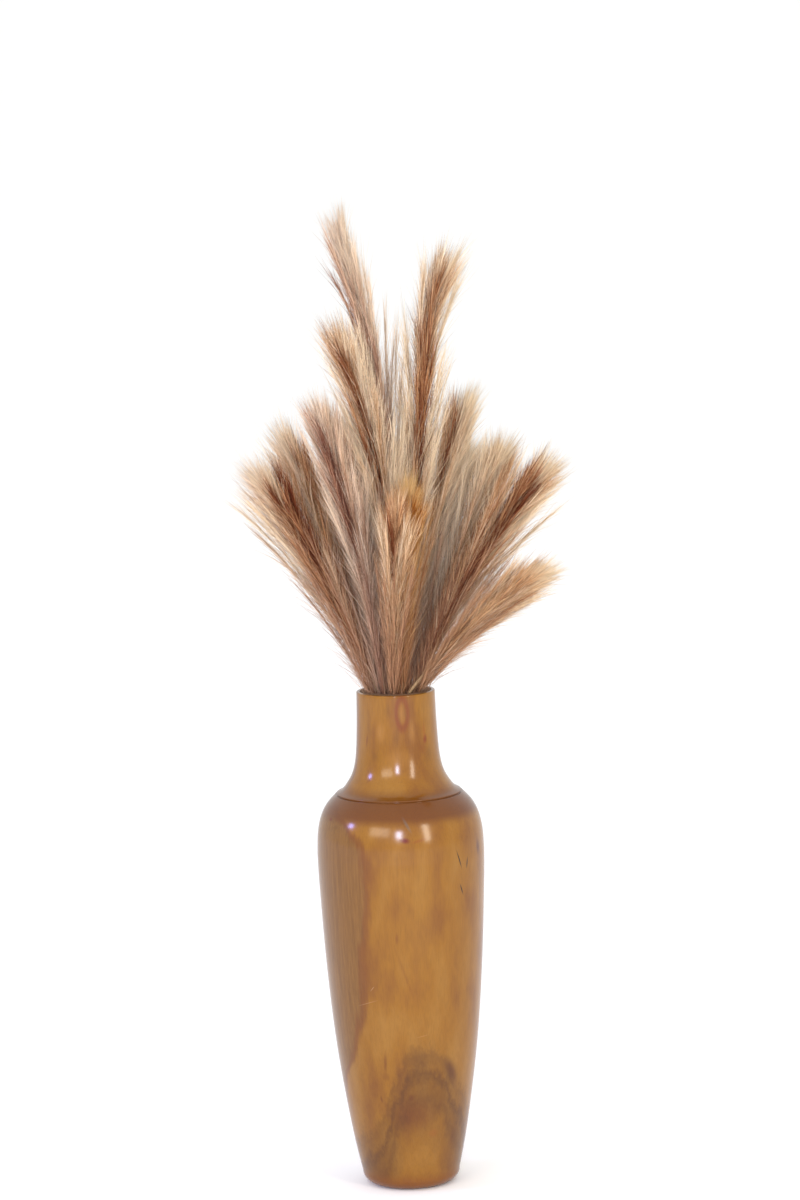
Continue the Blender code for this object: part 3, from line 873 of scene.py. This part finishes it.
up_the_branch = add(tree, "random FLOAT", [0.0, 1.0, hair_number, seeds["place"]])
on_branch = add(tree, "GeometryNodeGroup", {
    "Root": branch_root, "Bend": branch_bend, "Tip": branch_tip, "Along": up_the_branch,
}, node_tree=bent)
hair_root, branch_heading = on_branch.outputs["Position"], on_branch.outputs["Heading"]
aside = add(tree, "random FLOAT_VECTOR", [*ANY_WAY, hair_number, seeds["side"]])
aside = add(tree, "vector ADD", [aside, add(tree, "vector SCALE", [outward, OUTWARD_PULL])])
aside = add(tree, "vector SUBTRACT", [aside, add(tree, "vector PROJECT", [aside, branch_heading])])
aside = add(tree, "vector NORMALIZE", [aside])

angle = add(tree, "random FLOAT", [0.0, 1.0, hair_number, seeds["stray"]])
angle = add(tree, "math POWER", [angle, FEW_STRAY])
angle = add(tree, "math MULTIPLY_ADD", [angle, STRAY_MORE, FORWARD_PULL])
length = add(tree, "random FLOAT", [*HAIR_SHARES, hair_number, seeds["length"]])
less_angle = add(tree, "math MULTIPLY_ADD", [up_the_branch, -CLOSER_UP, 1.0])
less_length = add(tree, "math MULTIPLY_ADD", [up_the_branch, -SHORTER_UP, 1.0])
for size in (wanted["Spread"], less_angle):
    angle = add(tree, "math MULTIPLY", [angle, size])
for size in (wanted["Hair length"], less_length):
    length = add(tree, "math MULTIPLY", [length, size])
ahead, sideways = (
    add(tree, "vector SCALE", [way, add(tree, "math MULTIPLY", [length, add(tree, kind, [angle])])])
    for way, kind in ((branch_heading, "math COSINE"), (aside, "math SINE"))
)
hair_tip = add(tree, "vector ADD", [hair_root, add(tree, "vector ADD", [ahead, sideways])])
kink = add(tree, "random FLOAT_VECTOR", [*ANY_WAY, hair_number, seeds["kink"]])
kink = add(tree, "vector SCALE", [kink, add(tree, "math MULTIPLY", [length, KINK])])
hair_bend = add(tree, "vector ADD", [hair_root, kink])
for part, share in ((ahead, BEND_AHEAD), (sideways, BEND_ASIDE)):
    hair_bend = add(tree, "vector ADD", [hair_bend, add(tree, "vector SCALE", [part, share])])
print("nodes so far:", len(tree.nodes))

# %% [markdown]
# ### From numbers to needles
# So far there are only formulas. One point is made for every hair, and Capture Attribute stores the
# hair's numbers on it. A cone with three sides, closed and bent once, stands for the hair: it has ten
# triangles, so tens of thousands of them stay light. It is drawn 0.6 mm thick, because a true 0.1 mm
# would be finer than a pixel of the render. Each point of a needle finds its place on its hair's line.

# %% Carry the numbers to the needles
KEPT = {
    "root": hair_root, "bend": hair_bend, "tip": hair_tip, "aside": aside,
    "tone": add(tree, "random FLOAT", [0.0, 1.0, hair_number, seeds["tone"]]),
    "lock": add(tree, "random FLOAT", [0.0, 1.0, branch, seeds["lock"]]),
    "rise": up_the_head, "streak": streak, "edge": pale_edge,
}
FOR_THE_COLOUR = ("tone", "lock", "rise", "streak", "edge")

all_hairs = add(tree, "math MULTIPLY", [wanted["Branches"], wanted["Hairs on a branch"]])
roots = add(tree, "GeometryNodePoints", [all_hairs])
kept = add(tree, "GeometryNodeCaptureAttribute", {"Geometry": roots}, domain="POINT")
for label, source in KEPT.items():
    kept.capture_items.new("FLOAT" if label in FOR_THE_COLOUR else "VECTOR", label)
    fill(tree, kept, {label: source})
print("numbers kept for every hair:", ", ".join(KEPT))

# %% Pull the needles along the hairs
THIN_AT_ROOT, FULL_FROM = 0.4, 0.3

needle = add(tree, "GeometryNodeMeshCone", {
    "Vertices": 3, "Side Segments": 2, "Fill Segments": 1,
    "Radius Top": 0.0, "Radius Bottom": 1.0, "Depth": 1.0,
})
needles = add(tree, "GeometryNodeInstanceOnPoints",
              {"Points": kept.outputs["Geometry"], "Instance": needle.outputs["Mesh"]})
needles = add(tree, "GeometryNodeRealizeInstances", [needles])
place = add(tree, "ShaderNodeSeparateXYZ", [add(tree, "GeometryNodeInputPosition")])
on_hair = add(tree, "GeometryNodeGroup", {
    "Root": kept.outputs["root"], "Bend": kept.outputs["bend"], "Tip": kept.outputs["tip"],
    "Along": place.outputs["Z"],
}, node_tree=bent)
hair_heading = on_hair.outputs["Heading"]
one_way = add(tree, "vector CROSS_PRODUCT", [hair_heading, kept.outputs["aside"]])
one_way = add(tree, "vector NORMALIZE", [one_way])
other_way = add(tree, "vector CROSS_PRODUCT", [hair_heading, one_way])
radius = add(tree, "range", [place.outputs["Z"], 0.0, FULL_FROM, THIN_AT_ROOT, 1.0])
radius = add(tree, "math MULTIPLY", [wanted["Hair radius"], radius])
off_line = add(tree, "vector ADD", [
    add(tree, "vector SCALE", [way, place.outputs[axis]]) for way, axis in ((one_way, "X"), (other_way, "Y"))
])
off_line = add(tree, "vector SCALE", [off_line, radius])
pulled = add(tree, "vector ADD", [on_hair.outputs["Position"], off_line])
print("nodes so far:", len(tree.nodes))

# %% Hold the hair inside the rim
# metres, and how fast the room widens above the rim
RIM_HEIGHT, RIM_INSIDE, RIM_SLOPE = 0.4575, 0.0222, 2.2

parts = add(tree, "ShaderNodeSeparateXYZ", [pulled])
level = add(tree, "ShaderNodeCombineXYZ", [parts.outputs["X"], parts.outputs["Y"], 0.0])
from_axis = add(tree, "vector LENGTH", [level]).outputs["Value"]
above_rim = add(tree, "math MAXIMUM", [add(tree, "math SUBTRACT", [parts.outputs["Z"], RIM_HEIGHT]), 0.0])
room = add(tree, "math MULTIPLY_ADD", [above_rim, RIM_SLOPE, RIM_INSIDE])
squeeze = add(tree, "math DIVIDE", [room, add(tree, "math MAXIMUM", [from_axis, MM])])
squeeze = add(tree, "math MINIMUM", [1.0, squeeze])
kept_in = add(tree, "vector MULTIPLY", [pulled, add(tree, "ShaderNodeCombineXYZ", [squeeze, squeeze, 1.0])])
hair = add(tree, "GeometryNodeSetPosition", {"Geometry": needles, "Position": kept_in})
# a position is read where it is used: after the needles are moved, Z is the height above the table
stored = {label: kept.outputs[label] for label in FOR_THE_COLOUR}
for label, source in {"height": place.outputs["Z"], "is hair": 1.0, **stored}.items():
    hair = add(tree, "GeometryNodeStoreNamedAttribute",
               {"Geometry": hair, "Name": label, "Value": source}, data_type="FLOAT", domain="POINT")
hair = add(tree, "GeometryNodeSetShadeSmooth", [hair])
print("nodes so far:", len(tree.nodes))

# %% [markdown]
# ### The straw
# The stem of the plume is a dry reed about 3 mm thick, and thinner towards its tip. It shows only
# in the mouth of the vase and from behind, so a tube along the plume's line is enough. It stops before
# the tip, where the hair hides its end. Hair and straw are then joined, and each gets its material.

# %% The straw, and both together
STRAW_STOPS, STRAW_SIDES = 0.93, 7

thickness = add(tree, "GeometryNodeInputNamedAttribute", {"Name": "thickness"}, data_type="FLOAT")
hidden_straw = add(tree, "GeometryNodeTrimCurve", [straw_line, None, 0.0, STRAW_STOPS], mode="FACTOR")
straw_round = add(tree, "GeometryNodeCurvePrimitiveCircle", {"Resolution": STRAW_SIDES, "Radius": 1.0})
straw = add(tree, "GeometryNodeCurveToMesh", {
    "Curve": hidden_straw, "Profile Curve": straw_round.outputs["Curve"],
    "Scale": thickness, "Fill Caps": True,
})
both = add(tree, "GeometryNodeJoinGeometry")
for piece in (straw, hair):
    fill(tree, both, {"Geometry": piece})
whole_plume = add(tree, "GeometryNodeRealizeInstances", [both])
dressed = add(tree, "GeometryNodeSetMaterial", {"Geometry": whole_plume, "Material": wanted["Straw"]})
is_hair = add(tree, "GeometryNodeInputNamedAttribute", {"Name": "is hair"}, data_type="FLOAT")
all_hair = add(tree, "FunctionNodeCompare", [is_hair, NEARLY_ONE],
               data_type="FLOAT", operation="GREATER_THAN")
dressed = add(tree, "GeometryNodeSetMaterial", {
    "Geometry": dressed, "Selection": all_hair, "Material": wanted["Hair"],
})
fill(tree, result, {"Geometry": dressed})
print("nodes in the plume tree:", len(tree.nodes))

# %% [markdown]
# ## The colours of the hair
# Dried pampas hair is darkest where it grows and pale at its end, and the top of a bunch has faded
# most, so a plume looks dark low down and along its middle, and creamy at its edge and tip. Each
# point of a needle knows its height above the table in metres. That number, shifted for every lock
# and every hair, and by the streak and the edge, picks the colour. Near the mouth all of the plumes
# are a dull mauve brown. A picture wrapped round each plume couldn't follow the single hairs.

# %% The finish of the hair
# from the darkest to the palest, in the order that they come going up, and the base near the mouth
HAIR_COLOURS = {
    "chestnut": ("#5d2512", "#9c5b3a", "#daa878", "#f9e3c2", "#a9765c"),
    "umber": ("#69351d", "#ab6f4b", "#ddaf80", "#fae4c3", "#ab795c"),
    "mauve": ("#6f4030", "#a7755e", "#d5a988", "#f8e1c5", "#a67a64"),
    "sand": ("#8a4c2d", "#c58c62", "#e7bc8b", "#fae4c3", "#b48567"),
    "amber": ("#8a4820", "#c4792f", "#d79c55", "#e3bb80", "#9b6c54"),
    "cream": ("#8f5a3a", "#c9966a", "#ecc79c", "#fde9ca", "#a97858"),
}


def silky_hair(name):
    """Dry silky hair: soft broad shine, dark low down and pale at the top, every lock different."""
    darkest, dark, pale, palest, base = HAIR_COLOURS[name]
    material, tree, shader = new_finish(f"dried {name} pampas hair")
    height, tone, lock, rise, streak, edge = (
        add(tree, "ShaderNodeAttribute", attribute_name=label).outputs["Fac"]
        for label in ("height", *FOR_THE_COLOUR)
    )
    # what shifts the colour, the range in which it does, and the shift at either end of that
    shifts = (
        (lock, 0.0, 1.0, -0.25, 0.25),
        (tone, 0.0, 1.0, -0.28, 0.28),
        (streak, 0.0, 1.0, 0.12, -0.5),
        (edge, 0.25, 0.7, 0.0, 0.5),
        (rise, 0.2, 0.55, -0.12, 0.0),
        (rise, 0.62, 0.82, 0.0, 0.34),
    )
    shade = height
    for source, *ranges in shifts:
        shade = add(tree, "math ADD", [shade, add(tree, "range", [source, *ranges])])
    colour = add(tree, "ramp", [shade], ((0.0, darkest), (0.25, dark), (0.55, pale), (0.95, palest)))
    near_mouth = add(tree, "range SMOOTHSTEP", [rise, 0.22, -0.06, 0.0, 0.72])
    colour = add(tree, "mix RGBA", [near_mouth, colour, base])
    value = add(tree, "range", [tone, 0.0, 1.0, 0.62, 1.2])
    colour = add(tree, "ShaderNodeHueSaturation", {"Color": colour, "Value": value})
    # dry hair scatters light along its whole length, so what little it mirrors is broad and weak
    fill(tree, shader, {"Base Color": colour, "Roughness": 0.7, "Specular IOR Level": 0.1})
    return material


HAIR = {name: silky_hair(name) for name in HAIR_COLOURS}
print("hair finishes:", ", ".join(HAIR))

# %% [markdown]
# ### Dry straw
# The skin of a dry reed is smooth and slightly waxy, pale yellow brown, with fine lines along it. Noise
# that is stretched along the straw's length draws them.

# %% The finish of the straw
def dry_straw():
    """A dry reed straw: pale, slightly glossy skin with fine lines along it."""
    material, tree, shader = new_finish("dry reed straw")
    spot = add(tree, "ShaderNodeTexCoord").outputs["Object"]
    # the lines are about 0.1 mm apart: they are drawn 0.6 mm apart, so that they show close up
    lines = stretched_noise(tree, spot, 0.6, 30, seed=2.0)
    colour = add(tree, "ramp", [lines], ((0.3, "#8a6a48"), (0.7, "#c2a57a")))
    # plant wax has an IOR of about 1.45, which the shader starts with, and a satin shine
    fill(tree, shader, {"Base Color": colour, "Roughness": 0.5})
    return material


STRAW = dry_straw()
print("made:", STRAW.name)

# %% [markdown]
# ## Growing the plumes
# Every plume is grown by the one tree. Its line, its sizes and its seed go in, and a plain mesh comes
# out, which takes the place of the plume's CAD solid and rides on the same body.

# %% Grow the plumes
# millimetres, and shares of the head
BRANCH_LENGTH = 125.0
THROAT_FULLNESS = 5.0
# how far up the head the last branch starts: a low one gives a broad top, a high one a pointed top
LAST_ROOTS = {"tall_left": 0.9}
USUAL_LAST_ROOT = 0.82
HAIR_RADIUS = 0.3
STRAW_RADIUS, STRAW_TIP_RADIUS = 1.7, 0.4
SEED_STEP = 20
HIGHEST_END = 0.8

rings = ((OUTER_PLUMES, OUTER_RING, OUTER_START), (INNER_PLUMES, INNER_RING, INNER_START))
seed = 0
for rows, ring_radius, ring_start in rings:
    for place, (name, row) in enumerate(rows.items()):
        bend, tip, head_radius, shifts = row
        colours, branches, hairs, hair_length, spread, pale_side, dark = PLUME_LOOKS[name]
        points, shares = plume_line(seat(ring_radius, ring_start, place, len(rows)), bend, tip, shifts)
        lengths = [(b - a).length for a, b in zip(points, points[1:])]
        whole, stalk = sum(lengths), sum(lengths[:STALK_POINTS])
        seed += SEED_STEP
        plume = line_object(name + "_plume", [tuple(p * MM) for p in points], {
            "fullness": [MM * max(head_radius * head_share(t), THROAT_FULLNESS) for t in shares],
            "thickness": [MM * (STRAW_RADIUS + (STRAW_TIP_RADIUS - STRAW_RADIUS) * t) for t in shares],
        })
        grow(plume, tree, {
            "Branches": branches, "Hairs on a branch": hairs,
            "Throat": stalk / whole, "Branch share": BRANCH_LENGTH / whole,
            "Highest end": 1 - HIGHEST_END * hair_length / whole,
            "Last root": LAST_ROOTS.get(name, USUAL_LAST_ROOT),
            "Hair length": hair_length * MM, "Hair radius": HAIR_RADIUS * MM,
            "Spread": math.radians(spread), "Seed": seed,
            "Pale side": float(pale_side % 2 * pale_side), "Pale all round": float(pale_side == 2),
            **dict(zip(("Streak side", "Streak width", "Streak start", "Streak end"), map(float, dark))),
            "Hair": HAIR[colours], "Straw": STRAW,
        })
        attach(plume, "root")
        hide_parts("plume_" + name)
